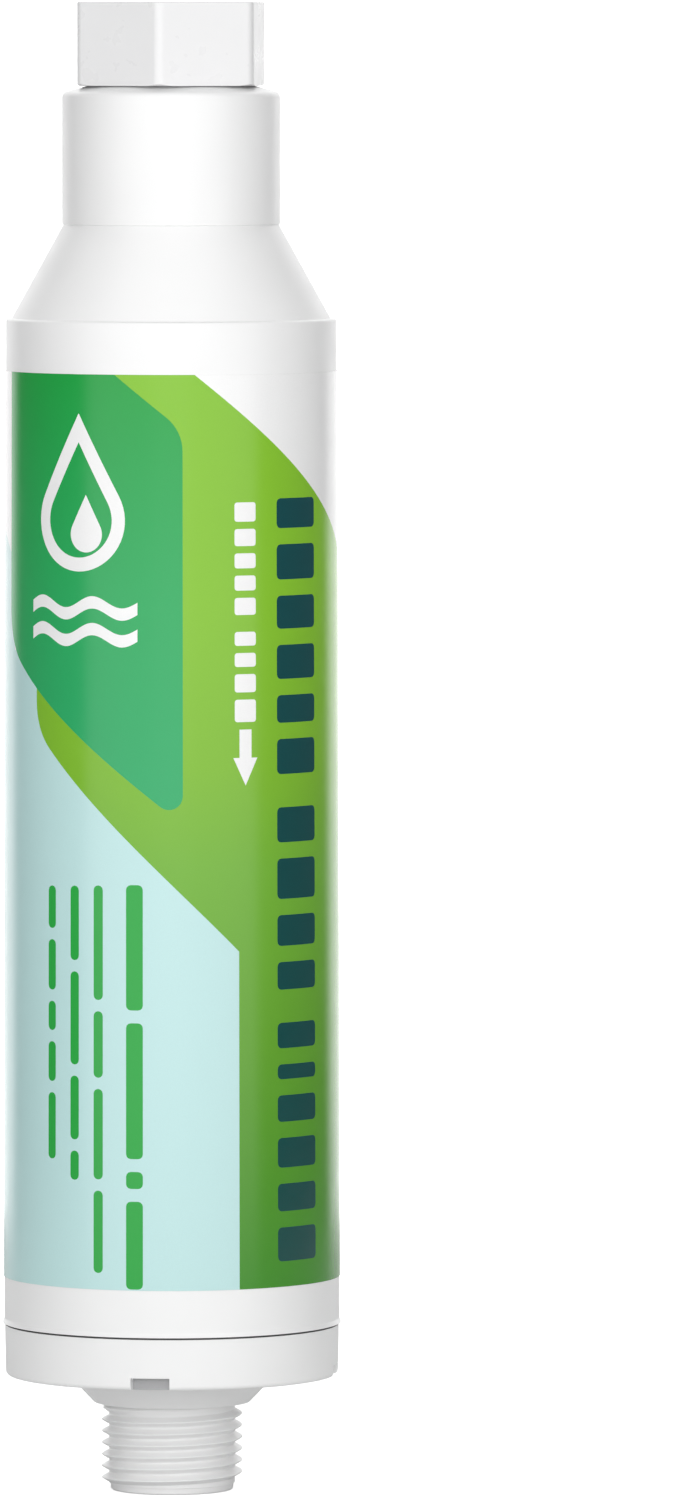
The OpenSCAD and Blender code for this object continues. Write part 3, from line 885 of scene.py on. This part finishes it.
def back_marks():
    """Round signs and small print on the back, which the front's art leads round to."""
    u = 83
    drop_z, wave_z, block_z = 148, 112, 76
    rings = []
    for z in (drop_z, wave_z, block_z):
        rings.append([("leaf", round_outline(u, z, 11)), ("blue", round_outline(u, z, 9.6))])
    drop = [("leaf", drop_outline(u, drop_z - 2, 4.2, 8.6))]
    waves = [("leaf", wave_outline(u - 6, u + 6, wave_z + 4 - 4 * k, 0.9, 1.5, 1.5)) for k in range(3)]
    block = [
        ("leaf", box_outline(u - 5, u + 5, block_z - 5, block_z + 5, 1)),
        ("blue", round_outline(u, block_z, 3.2)),
    ]
    marks = rings[0] + drop + rings[1] + waves + rings[2] + block
    lines = [
        [34, 22, 30], [18, 26, 20, 24], [24, 16, 28, 18], [20, 30, 14, 22], [26, 20, 24, 16], [12, 24, 20],
    ]
    for i, lengths in enumerate(lines):
        wide = 4.0 if i == 0 else 2.4
        middle = -58 - 5.6 * i - (2 if i else 0)
        shapes = dashes(middle - wide / 2, middle + wide / 2, 176, lengths, 2.2, 0.7)
        marks += [("leaf", shape) for shape in shapes]
    return marks


def bendable(outline):
    """The outline turned counter-clockwise, with points close enough round the barrel for it to bend."""
    loop = [Vector(p) for p in outline]
    turn = sum(a.x * b.y - b.x * a.y for a, b in zip(loop, loop[1:] + loop[:1]))
    if turn < 0:
        loop.reverse()
    points = []
    for a, b in zip(loop, loop[1:] + loop[:1]):
        count = max(1, math.ceil(abs(b.x - a.x) / GRID_U))
        points += [a.lerp(b, i / count) for i in range(count)]
    return points


def make_label():
    """Printed film round the barrel, divided exactly along the edges of its art."""
    inks = {
        "paper": ink("print_white", PAPER),
        "blue": ink("print_light_blue", BLUE),
        "lime": ink("print_lime", LIME),
        "green": ink("print_green", GREEN),
        "teal": ink("print_teal", TEAL),
        "leaf": ink("print_leaf", LEAF),
    }
    order = list(inks)
    art = label_art()
    points, shapes = [], []
    for _, outline in art:
        outline = bendable(outline)
        shapes.append(list(range(len(points), len(points) + len(outline))))
        points += outline
    low, high = film_low.z, film_high.z
    across = math.ceil(2 * EDGE_U / GRID_U)
    up = math.ceil((high - low) / GRID_Z)
    for i in range(across + 1):
        for k in range(up + 1):
            points.append(Vector((-EDGE_U + 2 * EDGE_U * i / across, low + (high - low) * k / up)))
    flat, _, triangles, _, _, inside = delaunay_2d_cdt(points, [], shapes, 0, MERGE, True)

    bm = bmesh.new()

    def skin(lift):
        return [place(bm, barrel_r(z) + lift, u / FLAT_R - TURN / 4, z) for u, z in flat]

    outer, inner = skin(FILM_T), skin(FILM_LIFT)
    edges = {}
    for triangle, within in zip(triangles, inside):
        if not within:
            continue             # a sliver outside the film, from rounding
        face = bm.faces.new([outer[i] for i in triangle])
        face.material_index = order.index(art[max(within)][0])
        bm.faces.new([inner[i] for i in reversed(triangle)])
        for a, b in zip(triangle, triangle[1:] + triangle[:1]):
            edges[frozenset((a, b))] = None if frozenset((a, b)) in edges else (a, b)
    for edge in edges.values():
        if edge:
            a, b = edge
            bm.faces.new((outer[b], outer[a], inner[a], inner[b]))
    obj = linked("printed_label", bm)
    mesh = obj.data
    tilt = BARREL_DRAFT / BARREL_LEN
    normals = []
    for polygon in mesh.polygons:
        upright = len(polygon.vertices) == 4
        polygon.use_smooth = not upright
        for loop in polygon.loop_indices:
            if upright:
                normals.append(polygon.normal.copy())
                continue
            spot = mesh.vertices[mesh.loops[loop].vertex_index].co
            normal = Vector((spot.x, spot.y, tilt * math.hypot(spot.x, spot.y))).normalized()
            normals.append(normal if normal.dot(polygon.normal) > 0 else -normal)
    mesh.normals_split_custom_set(normals)
    for name in order:
        mesh.materials.append(inks[name])
    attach(obj, "filter")
    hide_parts("label")


# ---------------------------------------------------------------- studio

CAMERA_PLACE = Vector((0, -2.46, 0.283))
CAMERA_AIM = Vector((0.0315, 0, 0.1404))
CAMERA_LENS = 312.5
FLOOR_R = 0.55
FLOOR_GLOW = 0.6                 # what the camera sees on top of the lamps' own light
FLOOR_BOUNCE = 0.75              # how pale the floor is to the object above it
FRONT = 1.1                      # brightness of the surround behind the camera,
SIDE = 0.14                      # beside the object
BACK = 1.6                       # and behind it
KEY_POWER = 10                   # watts of the lamp by the camera
KEY_WIDE = 0.9
KEY_PLACE = Vector((0, -1.9, 0.42))
KEY_AIM = Vector((0, 0, 0.15))


def point(obj, where, target):
    obj.location = where
    obj.rotation_euler = (target - where).to_track_quat("-Z", "Y").to_euler()
    bpy.context.scene.collection.objects.link(obj)


def make_camera():
    camera = bpy.data.objects.new("camera", bpy.data.cameras.new("camera"))
    point(camera, CAMERA_PLACE, CAMERA_AIM)
    camera.data.lens = CAMERA_LENS
    camera.data.clip_end = 50
    bpy.context.scene.camera = camera


def make_floor():
    """Pale table top, lit from within like a light table."""
    bm = bmesh.new()
    bm.faces.new([bm.verts.new((FLOOR_R * math.cos(a), FLOOR_R * math.sin(a), 0)) for a in even_angles(96)])
    floor = linked("floor", bm)
    shader = Shader("floor_white", Roughness=0.8)
    shader.surface.inputs["Emission Color"].default_value = (1, 1, 1, 1)
    seen = shader.nodes.new("ShaderNodeLightPath").outputs["Is Camera Ray"]
    shader.into(shader.between(seen, 0, 1, 0, FLOOR_GLOW), "Emission Strength")
    grey = shader.ramp(seen, [(0, (FLOOR_BOUNCE,) * 3 + (1,)), (1, (0.86, 0.86, 0.86, 1))])
    shader.into(shader.mottled(grey, shader.noise(12), 0.02), "Base Color")
    floor.data.materials.append(shader.material)


def make_world():
    """Studio surround: a wide soft front, darker sides that shape the round body, and a bright back.

    The camera sees plain white instead.
    """
    world = bpy.data.worlds.new("studio")
    bpy.context.scene.world = world
    world.use_nodes = True
    nodes, links = world.node_tree.nodes, world.node_tree.links
    background = nodes["Background"]
    axes = nodes.new("ShaderNodeSeparateXYZ")
    links.new(nodes.new("ShaderNodeTexCoord").outputs["Generated"], axes.inputs["Vector"])

    def math_node(operation, first, second=None):
        node = nodes.new("ShaderNodeMath")
        node.operation = operation
        for socket, value in zip(node.inputs, (first, second)):
            if isinstance(value, (int, float)):
                socket.default_value = value
            elif value:
                links.new(value, socket)
        return node.outputs["Value"]

    front = math_node("MULTIPLY", axes.outputs["Y"], -1)
    around = math_node("ABSOLUTE", math_node("ARCTAN2", axes.outputs["X"], front))
    ramp = nodes.new("ShaderNodeValToRGB")
    links.new(math_node("DIVIDE", around, math.pi), ramp.inputs["Fac"])
    ramp.color_ramp.interpolation = "EASE"
    # Where each level holds, as a share of the half turn from the front to the back.
    levels = [(0.0, FRONT), (0.31, FRONT), (0.37, SIDE), (0.715, SIDE), (0.81, BACK), (1.0, BACK)]
    fill_ramp(ramp, [(position, (level / BACK,) * 3 + (1,)) for position, level in levels])
    path = nodes.new("ShaderNodeLightPath")
    mix = nodes.new("ShaderNodeMix")
    mix.data_type = "RGBA"
    links.new(path.outputs["Is Camera Ray"], mix.inputs["Factor"])
    links.new(ramp.outputs["Color"], mix.inputs["A"])
    mix.inputs["B"].default_value = (1, 1, 1, 1)
    links.new(mix.outputs["Result"], background.inputs["Color"])
    background.inputs["Strength"].default_value = BACK


def make_key():
    """Large soft light beside the camera."""
    light = bpy.data.lights.new("key", "AREA")
    light.shape = "RECTANGLE"
    light.size = KEY_WIDE
    light.size_y = KEY_WIDE
    light.energy = KEY_POWER
    key = bpy.data.objects.new("key", light)
    point(key, KEY_PLACE, KEY_AIM)
    key.visible_camera = False
    key.visible_glossy = False


make_camera()
make_housing()
make_cap()
make_nut()
make_inlet_parts()
make_media()
make_label()
make_floor()
make_world()
make_key()
bpy.context.scene.view_settings.view_transform = "Standard"
